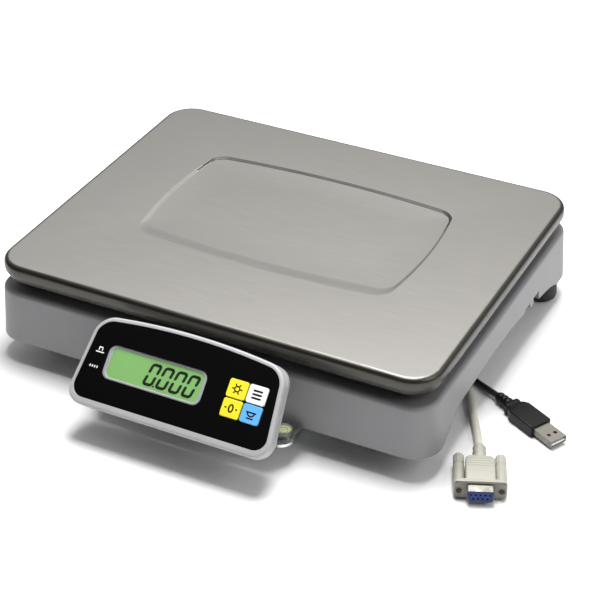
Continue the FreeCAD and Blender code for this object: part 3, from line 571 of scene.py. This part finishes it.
def make_pan(materials):
    """The pressed pan: recess, flat, rounded edge, skirt and hem, then back up its inside."""
    middle = PAN_MIDDLE.xy / MM
    half = (PAN_HIGH - PAN_LOW).xy / MM / 2
    top = PAN_HIGH.z / MM
    foot = PAN_LOW.z / MM
    dish = (middle.x, middle.y + RECESS_BACK)

    def rim(inset, height):
        return ring(half.x - inset, half.y - inset, PAN_CORNER - inset, height, middle)

    def recess(grow, height, drop=0):
        soft = RECESS_SOFT * drop / 2
        return ring(RECESS_SIDE + grow, RECESS_END + grow - soft, max(RECESS_CORNER + grow, 1),
                    height, (dish[0], dish[1] + soft), RECESS_BOW)

    rings = [recess(-RECESS_END + 8, top - 1, 1), recess(-RECESS_END / 2, top - 1, 1)]
    rings += [recess(grow, top - drop, drop) for grow, drop in RECESS_SLOPE]
    rings += [rim(PAN_ROUND + 0.6, top)]
    rings += [rim(inset, top - drop) for inset, drop in round_steps(PAN_ROUND, 8)]
    rings += [rim(0, top - SKIRT_HEIGHT + 0.5), rim(0.2, top - SKIRT_HEIGHT), rim(HEM_INSET, foot),
              rim(HEM_INSET + PAN_SHEET, foot), rim(PAN_SHEET, top - SKIRT_HEIGHT),
              rim(PAN_SHEET, top - PAN_ROUND), rim(PAN_ROUND, top - PAN_SHEET),
              recess(PAN_SHEET, top - PAN_SHEET), recess(0, top - 1 - PAN_SHEET)]
    points, faces = skin(rings)
    sheet = mesh_from("pan_sheet", points, faces)
    add_piece("pan_sheet", sheet, materials["stainless"], "pan_body", "stainless", "pan", sharp=40)
    paint_bend_shade(sheet, materials)


def paint_bend_shade(sheet, materials):
    """Give the pan's bent edge its painted reflection and shade, and the back slope of its recess
    its painted shade.
    """
    sheet.materials.append(materials["edge_painted_shade"])
    sheet.materials.append(materials["recess_painted_shade"])
    for face in sheet.polygons:
        x, y = (face.center.xy - PAN_MIDDLE.xy) / MM
        # The bent edge outside the recess gets the painted reflection and shade
        outside = abs(x) > RECESS_SIDE + BEND_CLEAR[0] or abs(y) > RECESS_END + BEND_CLEAR[1]
        if outside and (PAN_HIGH.z - face.center.z) / MM > BEND_DROP:
            face.material_index = 1
        # The recess's forward-facing back slope gets painted shade
        elif face.normal.y < BACK_LEAN and face.normal.z > 0:
            face.material_index = 2


# ---------------------------------------------------------------- the display

OVERLAY_SHEET = 0.6
DISPLAY_TILT = math.radians(45)
FACE_HALF = 66.1
FACE_LEAN = 0.1056
FACE_SIDE = 48.2
FACE_BOW = 4.4
FACE_CORNER = 8.5
RIM = 2.6
RIM_LOW = 4.3
BEZEL_ROUND = 1.5
LCD_RIM = (2.3, 1.5)
LCD_MARGIN = 1.4
MARK_REACH = 39
KEY_TOP = 0.7
KEY_SLOTS = {"light": "key_yellow", "function": "key_white", "zero": "key_yellow",
             "tare": "key_blue"}

overlay_low, overlay_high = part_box("display_overlay")
DISPLAY = (Matrix.Translation(((overlay_low.x + overlay_high.x) / 2, overlay_low.y,
                               overlay_low.z + OVERLAY_SHEET * MM * math.cos(DISPLAY_TILT)))
           @ Matrix.Rotation(DISPLAY_TILT, 4, "X"))


def face_place(node):
    """Where a node's middle lies on the display's face, in millimetres."""
    low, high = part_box(node)
    return (DISPLAY.inverted() @ ((low + high) / 2)) / MM


def face_ring(grow, grow_low, height):
    """The display's outline, grown at its sides and foot; its sides lean in, its top is arched."""
    half_u = FACE_HALF + grow
    low, high = -grow_low, FACE_SIDE + grow
    points = []
    outline = ring(half_u, (high - low) / 2, FACE_CORNER + grow, height, (0, (high + low) / 2))
    for u, v, n in outline:
        share = min(max(u / (half_u - FACE_CORNER - grow), -1), 1)
        rise = FACE_BOW * (1 - (u / half_u) ** 2) * (v - low) / (high - low)
        points.append((u - share * FACE_LEAN * v, v + rise, n))
    return points


def make_bezel(materials):
    """The display's front frame, with a groove where it meets the rear cover."""
    rings = [face_ring(0.1, 0.1, -2.1), face_ring(0.1, 0.1, 0.2), face_ring(0.3, 0.3, 0.4)]
    rings += [face_ring(RIM - inset, RIM_LOW - inset, 0.4 - drop)
              for inset, drop in round_steps(BEZEL_ROUND)]
    rings += [face_ring(RIM - inset, RIM_LOW - inset, height)
              for inset, height in ((0, -5.2), (0.25, -5.45), (0.7, -5.5), (0.7, -5.97),
                                    (2, -5.97), (2, -2.1))]
    points, faces = skin(rings, "joined")
    add_piece("bezel_frame", mesh_from("bezel_frame", points, faces, DISPLAY),
              materials["display_grey"], "display", "display_grey", "display_bezel")


def make_lcd(materials):
    """What shows through the window: a grey frame, the panel with its painted glow, and its digits.
    """
    middle = face_place("display_window")
    low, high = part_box("lcd_module")
    half_u = (high.x - low.x) / MM / 2 + LCD_MARGIN
    half_v = half_u * 0.32 - 0.1

    def window(inset_u, inset_v, corner, height):
        return ring(half_u - inset_u, half_v - inset_v, corner, height, middle)

    frame_rings = [window(0, 0, 4.9, -2.1), window(0, 0, 4.9, -0.75),
                   window(0.4, 0.4, 4.5, -0.62), window(1.5, 0.8, 4.2, -0.62),
                   window(1.7, 0.95, 4.1, -1.0), window(*LCD_RIM, 3.8, -1.15),
                   window(*LCD_RIM, 3.8, -2.1)]
    points, faces = skin(frame_rings, "joined")
    add_piece("lcd_frame", mesh_from("lcd_frame", points, faces, DISPLAY),
              materials["window_grey"], "display", "lcd_body")
    panel = [window(LCD_RIM[0] - 0.2, LCD_RIM[1] - 0.2, 4, -2.0),
             window(LCD_RIM[0] - 0.2, LCD_RIM[1] - 0.2, 4, -1.5)]
    points, faces = skin(panel)
    add_piece("lcd_panel", mesh_from("lcd_panel", points, faces, DISPLAY),
              materials["lcd_body"], "display", "lcd_body")
    make_digits(materials)


DIGIT_LEFT = -22.3
DIGIT_LOW = 18.8
DIGIT_WIDTH = 5.4
DIGIT_HEIGHT = 12.6
DIGIT_PITCH = 8.75
DIGIT_SLANT = 0.22
DIGIT_TURN = 0.9
DIGIT_GAP = 1.4
SEGMENT = 1.85


def zero_bars(left):
    """The six segments of a seven-segment nought, upright, with a gap at half height."""
    right = left + DIGIT_WIDTH
    high = DIGIT_LOW + DIGIT_HEIGHT
    middle = DIGIT_LOW + DIGIT_HEIGHT / 2
    lower = [(left, middle - DIGIT_GAP), (left, DIGIT_LOW + DIGIT_TURN),
             (left + DIGIT_TURN, DIGIT_LOW), (right - DIGIT_TURN, DIGIT_LOW),
             (right, DIGIT_LOW + DIGIT_TURN), (right, middle - DIGIT_GAP)]
    upper = [(u, high + DIGIT_LOW - v) for u, v in lower]
    return strip(lower, SEGMENT) + strip(upper, SEGMENT)


def make_digits(materials):
    """The reading 0.000 in leaning seven-segment digits."""
    bars = [one for place in range(4) for one in zero_bars(DIGIT_LEFT + place * DIGIT_PITCH)]
    bars.append(bar(DIGIT_LEFT + DIGIT_WIDTH + 1.5, DIGIT_LOW - 0.2, 1.6, 1.3))
    leaning = [[(u + DIGIT_SLANT * (v - DIGIT_LOW), v) for u, v in one] for one in bars]
    points, faces = prisms(leaning, -1.52, -1.42)
    add_piece("lcd_digits", mesh_from("lcd_digits", points, faces, DISPLAY),
              materials["digit_dark"], "display", "lcd_body")


def make_marks(materials):
    """Two small printed marks left of the window: a platform with a load, and steady bars."""
    middle = face_place("display_window")
    left = middle.x - MARK_REACH
    shapes = strip([(left - 2.6, 29.2), (left + 2.6, 29.2)], 0.7)
    load = [(left - 1.1, 30.4), (left - 1.1, 32.2), (left + 1.1, 32.2), (left + 1.1, 30.4)]
    shapes += strip(load, 0.6)
    shapes += [bar(left - 3.4 + 1.6 * step, 20, 1.7, 0.8, 90) for step in range(4)]
    points, faces = prisms(shapes, 0, 0.04)
    add_piece("overlay_marks", mesh_from("overlay_marks", points, faces, DISPLAY),
              materials["print_white"], "display", "overlay_black")


def hoop(u, v, half_u, half_v, width):
    """A flat oval ring as short bars."""
    angles = [2 * math.pi * step / SMALL_STEPS for step in range(SMALL_STEPS + 1)]
    points = [(u + half_u * math.cos(angle), v + half_v * math.sin(angle)) for angle in angles]
    return strip(points, width)


def around(u, v, radius, degrees):
    """The point at an angle round a middle."""
    return u + radius * math.cos(math.radians(degrees)), v + radius * math.sin(math.radians(degrees))


def key_icons(u, v):
    """Each key's icon: a lamp, three bars, a nought and a bowl on a line."""
    lamp = hoop(u, v, 1.6, 1.6, 0.8)
    lamp += [bar(*around(u, v, 2.7, turn), 1.7, 0.85, turn) for turn in range(0, 360, 60)]
    rows = [bar(u, v + up, 6.6, 1.2) for up in (-2.2, 0, 2.2)]
    nought = hoop(u, v, 1.3, 2.2, 1.0) + [bar(u + side * 3.5, v, 1.7, 0.9) for side in (-1, 1)]
    bowl = strip([around(u, v + 1, 2.3, turn) for turn in range(180, 361, 20)], 0.9)
    bowl += strip([(u - 3, v + 1), (u + 3, v + 1)], 0.9)
    bowl += strip([(u - 2, v - 2.6), (u + 2, v - 2.6)], 0.9)
    return {"light": lamp, "function": rows, "zero": nought, "tare": bowl}


def make_keys(materials):
    """The printed icon on each key's cap."""
    for name, slot in KEY_SLOTS.items():
        place = face_place("key_" + name)
        icon = key_icons(place.x, place.y)[name]
        points, faces = prisms(icon, KEY_TOP - 0.02, KEY_TOP + 0.04)
        add_piece("icon_" + name, mesh_from("icon_" + name, points, faces, DISPLAY),
                  materials["print_black"], name + "_key", slot)


# ---------------------------------------------------------------- the level and the feet

def make_level(materials):
    """The bubble level: its cup with a rounded rim, the liquid with a painted glow, a printed ring
    and the bubble.
    """
    middle = ((LEVEL_LOW + LEVEL_HIGH) / 2).xy / MM
    low, high = LEVEL_LOW.z / MM, LEVEL_HIGH.z / MM
    radius = (LEVEL_HIGH.x - LEVEL_LOW.x) / MM / 2
    cup = [(radius, low), (radius, high - 1.6), (radius - 0.25, high - 1.1),
           (radius - 0.25, high - 0.35), (radius - 0.6, high), (radius - 0.85, high - 0.05),
           (radius - 0.9, high - 2.2), (radius - 0.9, low + 1.2)]
    points, faces = turned(cup, 48, middle)
    add_piece("level_ring", mesh_from("level_ring", points, faces), materials["level_plastic"],
              "base", "level_plastic", "level_cup")
    liquid = [(radius - 1, low + 1.3), (radius - 1, high - 1.7), (radius - 2.5, high - 1.5)]
    points, faces = turned(liquid, 48, middle)
    add_piece("level_liquid", mesh_from("level_liquid", points, faces),
              materials["level_liquid"], "base", "level_liquid", "level_fluid")
    target = skin([circle(size, high - up, 40, middle)
                   for size, up in ((2.5, 1.52), (2.9, 1.52), (2.9, 1.4), (2.5, 1.4))], "joined")
    add_piece("level_target", mesh_from("level_target", *target), materials["print_black"],
              "base", "level_plastic")
    bubble = turned([(1.9, high - 1.5), (1.7, high - 1.3), (1.0, high - 1.18), (0.3, high - 1.16)],
                    32, (middle.x + 0.5, middle.y - 0.4))
    add_piece("level_bubble", mesh_from("level_bubble", *bubble), materials["clear_lens"],
              "base", "clear_lens")


def make_foot(materials, corner):
    """A rubber foot with a rounded sole, a hollow under it and a shallow groove round its top."""
    node = "foot_" + corner
    low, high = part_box(node)
    middle = ((low + high) / 2).xy / MM
    wide = (high.x - low.x) / MM / 2
    top = high.z / MM
    profile = [(wide - 5, 0.7), (wide - 4.4, 0), (wide - 3.2, 0), (wide - 1.9, 0.25),
               (wide - 0.9, 0.9), (wide - 0.3, 1.9), (wide, 3.4), (wide - 0.15, 6),
               (wide - 0.55, top - 3.6), (wide - 0.95, top - 3.3), (wide - 0.95, top - 2.7),
               (wide - 0.7, top - 2.4), (wide - 0.85, top - 1), (wide - 1.4, top - 0.25),
               (wide - 2.2, top), (4.2, top), (3.9, top - 0.5), (3.05, top - 0.5), (3.05, top - 2)]
    add_piece("rubber_" + node, mesh_from(node, *turned(profile, 64, middle)),
              materials["black_rubber"], "levelling_" + node, "black_rubber", node)


# ---------------------------------------------------------------- the plugs

SERIAL_HEADING = math.radians(-67.2)
USB_HEADING = math.radians(-28.5)
SCREW_REACH = 12.5
SCREW_STEPS = 72
# Past this the thumbscrew's steel end gets painted shade
GRIP_END = 38


def plug_place(spot, heading):
    """A plug's own place: its +X points forwards from the end of its cord."""
    return Matrix.Translation(Vector(spot) * MM) @ Matrix.Rotation(heading, 4, "Z")


def section(forward, half_width, half_height, corner):
    """A rounded-rectangle section across a plug."""
    return [(forward, *point[:2]) for point in ring(half_width, half_height, corner, 0)]


def ribbed(start, length, low, high, rings, dip):
    """Sections of a tapered round strain relief with rings round it."""
    sections = []
    steps = rings * 6
    for step in range(steps + 1):
        share = step / steps
        wave = 0.5 + 0.5 * math.cos(2 * math.pi * share * rings)
        radius = low + (high - low) * share - dip * wave
        sections.append(section(start + length * share, radius, radius, radius * 0.98))
    return sections


def make_serial_hood(materials):
    """The moulded hood: ringed relief, shoulders, grip lines and a lip behind the metal front."""
    sections = ribbed(0, 13, 4.0, 4.4, 3, 0.9)
    sections += [section(*shape) for shape in (
        (13.4, 4.4, 4.2, 3.6), (13.8, 6.4, 4.6, 2.2), (15.4, 7.9, 5.6, 1.8), (17, 8.6, 6.1, 1.5))]
    for forward in (18.6, 20.8, 23, 25.2):
        sections += [section(forward + step, 8.8, 6.4 - dip, 1.4)
                     for step, dip in ((0, 0), (0.3, 0.25), (0.8, 0.25), (1.1, 0))]
    sections += [section(*shape) for shape in (
        (28, 8.8, 6.45, 1.3), (37.7, 8.8, 6.4, 1.3), (37.9, 9.0, 6.3, 1.3), (38.3, 15.3, 6.2, 2.2),
        (38.7, 15.6, 6.4, 2.4), (40.3, 15.6, 6.4, 2.4), (40.6, 15.4, 6.2, 2.3))]
    mesh = mesh_from("hood", *skin(sections), plug_place(SERIAL_LAST[-1], SERIAL_HEADING))
    add_piece("serial_hood_shell", mesh, materials["hood_cream"], "base", "hood_cream",
              "serial_hood")


def d_section(forward, half_width, half_height, corner):
    """A D-shaped section, wider at its top."""
    slant = 0.9 / half_width
    return [(x, y * (1 - slant * (0.5 - z / half_height / 2)), z)
            for x, y, z in section(forward, half_width, half_height, corner)]


def facing_circle(radius, forward, across):
    """A circle of points that faces forwards."""
    angles = [2 * math.pi * step / SMALL_STEPS for step in range(SMALL_STEPS)]
    return [(forward, across + radius * math.cos(angle), radius * math.sin(angle))
            for angle in angles]


def make_serial_front(materials):
    """The stamped metal front: a plate round two screw holes, black discs of painted shade in the
    holes, and the D-shaped shell.
    """
    plate = [section(*shape) for shape in (
        (40.62, 14.9, 5.7, 1.9), (41.2, 14.9, 5.7, 1.9), (41.4, 14.7, 5.5, 1.8))]
    shell = [d_section(*shape) for shape in (
        (41.3, 9.2, 4.9, 2.2), (41.6, 8.6, 4.35, 1.9), (42.1, 8.45, 4.2, 1.8),
        (46.6, 8.45, 4.2, 1.8), (47, 8.25, 4.0, 1.7), (46.9, 8.0, 3.75, 1.6), (42, 8.0, 3.75, 1.6),
        (41.3, 8.0, 3.75, 1.6))]
    lip = ((2.4, 41.35), (2.3, 41.7), (1.9, 41.8), (1.6, 41.5))
    sides = (-SCREW_REACH, SCREW_REACH)
    sockets = [skin([facing_circle(*step, across) for step in lip], "open") for across in sides]
    # Painted shade: black discs fill the screw holes round the screw ends
    shade_discs = [skin([facing_circle(1.75, forward, across) for forward in (41.3, 41.55)])
             for across in sides]
    spot = plug_place(SERIAL_LAST[-1], SERIAL_HEADING)
    add_piece("serial_front", mesh_from("front", *joined(skin(plate), skin(shell, "joined")), spot),
              materials["plug_nickel"], "base", "plug_nickel", "serial_flange")
    add_piece("serial_screw_hole_shade", mesh_from("holes", *joined(*shade_discs), spot),
              materials["component_black"], "base", "plug_nickel")
    add_piece("serial_sockets", mesh_from("sockets", *joined(*sockets), spot),
              materials["plug_nickel"], "base", "plug_nickel")


def make_thumbscrew(materials, side, across):
    """A moulded thumbscrew: a plain barrel, a fluted grip at the back and its steel end, coloured
    near-black as painted shade.
    """
    profile = [(1.6, 9.9), (2.9, 9.95), (3.3, 10.6), (3.4, 12), (3.4, 17.4), (3.3, 17.9),
               (3.05, 18.2), (3.05, 19), (3.4, 19.5), (3.4, 37.4), (3.1, 37.85), (1.5, 37.9),
               (1.4, 38.3), (1.4, 41.6), (1.0, 42)]
    rings = []
    for row, (radius, forward) in enumerate(profile):
        flute = 0.35 if row in (3, 4) else 0
        points = []
        for step in range(SCREW_STEPS):
            angle = 2 * math.pi * step / SCREW_STEPS
            reach = radius - flute * max(0, math.cos(angle * 12))
            points.append((forward, across + reach * math.cos(angle), reach * math.sin(angle)))
        rings.append(points)
    place = plug_place(SERIAL_LAST[-1], SERIAL_HEADING)
    mesh = mesh_from("screw_" + side, *skin(rings), place)
    add_piece("thumbscrew_grip_" + side, mesh, materials["hood_cream"],
              "thumbscrew_%s_body" % side, "hood_cream", "thumbscrew_" + side)
    mesh.materials.append(materials["screw_end_painted_shade"])
    # The steel end past the grip gets the painted shade
    for face in mesh.polygons:
        if (place.inverted() @ face.center).x / MM > GRIP_END:
            face.material_index = 1


def make_usb_overmould(materials):
    """The USB plug's overmould: ringed relief, stepped shoulders and bevelled grip."""
    sections = ribbed(0, 10.5, 3.4, 3.9, 3, 0.45)
    sections += [section(*shape) for shape in (
        (10.9, 4.2, 3.4, 2.4), (11.2, 5.5, 3.5, 1.3), (13.6, 5.7, 3.7, 1.2), (14.2, 5.2, 3.5, 1.1),
        (15.6, 5.4, 3.6, 1.1), (16.2, 6.4, 3.8, 1.0), (19.2, 7.9, 3.95, 0.9), (20, 8.0, 4.0, 0.9),
        (38.6, 8.0, 4.0, 0.9), (39.5, 7.8, 3.85, 0.9), (40, 7.3, 3.4, 0.8))]
    mesh = mesh_from("usb", *skin(sections), plug_place(USB_LAST[-1], USB_HEADING))
    add_piece("usb_grip", mesh, materials["overmould_black"], "base", "overmould_black",
              "usb_overmould")


# ---------------------------------------------------------------- cords

COIL_STEPS = 16
COIL_GROW = 1 / 0.981


def coil_points(middle, mean_radius, turns, layers, diameter, start, turning):
    """Control points of a wound coil that starts and ends at its outside, layer on layer."""
    points = []
    layer_turns = turns / layers
    outside = mean_radius + layer_turns * diameter / 2
    for step in range(1, round(turns * COIL_STEPS)):
        done = step / COIL_STEPS
        sweep = done / layer_turns
        layer = min(int(sweep), layers - 1)
        share = sweep - layer
        inward = share if layer % 2 == 0 else 1 - share
        radius = (outside - inward * layer_turns * diameter) * COIL_GROW
        angle = math.radians(start) + turning * 2 * math.pi * done
        points.append((middle[0] + radius * math.cos(angle), middle[1] + radius * math.sin(angle),
                       coil_height(done, layer_turns, layers) * diameter))
    return points


def coil_height(done, layer_turns, layers):
    """How many diameters high the cord lies after so many turns; it climbs within half a turn."""
    height = 0.5
    for change in range(1, layers):
        rise = min(max((done - change * layer_turns) * 2 + 0.5, 0), 1)
        height += rise * rise * (3 - 2 * rise)
    return height


def cord_curve(name, points, diameter, material):
    """A round cord as one open smooth spline through its control points."""
    data = bpy.data.curves.new(name, "CURVE")
    data.dimensions = "3D"
    data.bevel_depth = diameter / 2
    data.bevel_resolution = 6
    data.resolution_u = 5
    data.use_fill_caps = True
    spline = data.splines.new("NURBS")
    spline.points.add(len(points) - 1)
    for place, point in zip(spline.points, points):
        place.co = (*(Vector(point) * MM), 1)
    spline.order_u = 3
    spline.use_endpoint_u = True
    data.materials.append(material)
    piece = bpy.data.objects.new(name, data)
    bpy.context.collection.objects.link(piece)
    return piece


SERIAL_FIRST = [(20, 22, 29), (33, 22.3, 28), (45, 22.9, 20), (56, 23.6, 9.5), (66.5, 24.3, 3.2),
                (76, 24.5, 2.5)]
SERIAL_LAST = [(82.7, 24.1, 7.5), (96, 21.5, 5.6), (110.5, 19.2, 3.2), (124, 15.2, 2.5),
               (134.3, 7.2, 2.5), (141.2, -4.0, 2.5), (147, -16, 2.5), (153.5, -27.5, 2.5),
               (160.4, -40, 3.2), (166.6, -53.6, 6.5)]
USB_FIRST = [(20, 62, 29), (32.5, 61, 28), (44, 56.5, 20.5), (54, 50, 10.5), (64.5, 43.2, 3.4),
             (75.9, 37.8, 2)]
USB_LAST = [(75.9, 37.8, 14), (88.5, 33.4, 10.6), (102, 29.7, 6.2), (115, 25.9, 3), (127, 20.2, 2),
            (138, 13.2, 2), (148, 8.0, 2.5), (157.5, 2.2, 4)]


def make_serial_cord(materials):
    """The serial cord: out of its gland, round its coil under the housing, to its plug."""
    coil = coil_points((76, -14), 29.8, 7, 2, 5, 90, -1)
    piece = cord_curve("serial_cord", SERIAL_FIRST + coil + SERIAL_LAST, 0.005,
                       materials["cord_cream"])
    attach(piece, "base")
    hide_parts("serial_cord_inner", "serial_cord_coil", "serial_cord_outer")


def make_usb_cord(materials):
    """The USB cord: out of its gland, round its coil under the housing, to its plug."""
    coil = coil_points((86, 64), 23.6, 9, 4, 4, -111.1, 1)
    piece = cord_curve("usb_cord", USB_FIRST + coil + USB_LAST, 0.004, materials["cord_black"])
    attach(piece, "base")
    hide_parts("usb_cord_inner", "usb_cord_coil", "usb_cord_outer")


def main():
    """Build everything around the frame."""
    materials = make_materials()
    make_camera()
    make_studio()
    dress_frame(materials)
    make_pan(materials)
    make_bezel(materials)
    make_lcd(materials)
    make_marks(materials)
    make_keys(materials)
    make_level(materials)
    for corner in ("front_left", "front_right", "rear_left", "rear_right"):
        make_foot(materials, corner)
    make_serial_hood(materials)
    make_serial_front(materials)
    make_thumbscrew(materials, "left", SCREW_REACH)
    make_thumbscrew(materials, "right", -SCREW_REACH)
    make_usb_overmould(materials)
    make_serial_cord(materials)
    make_usb_cord(materials)


main()
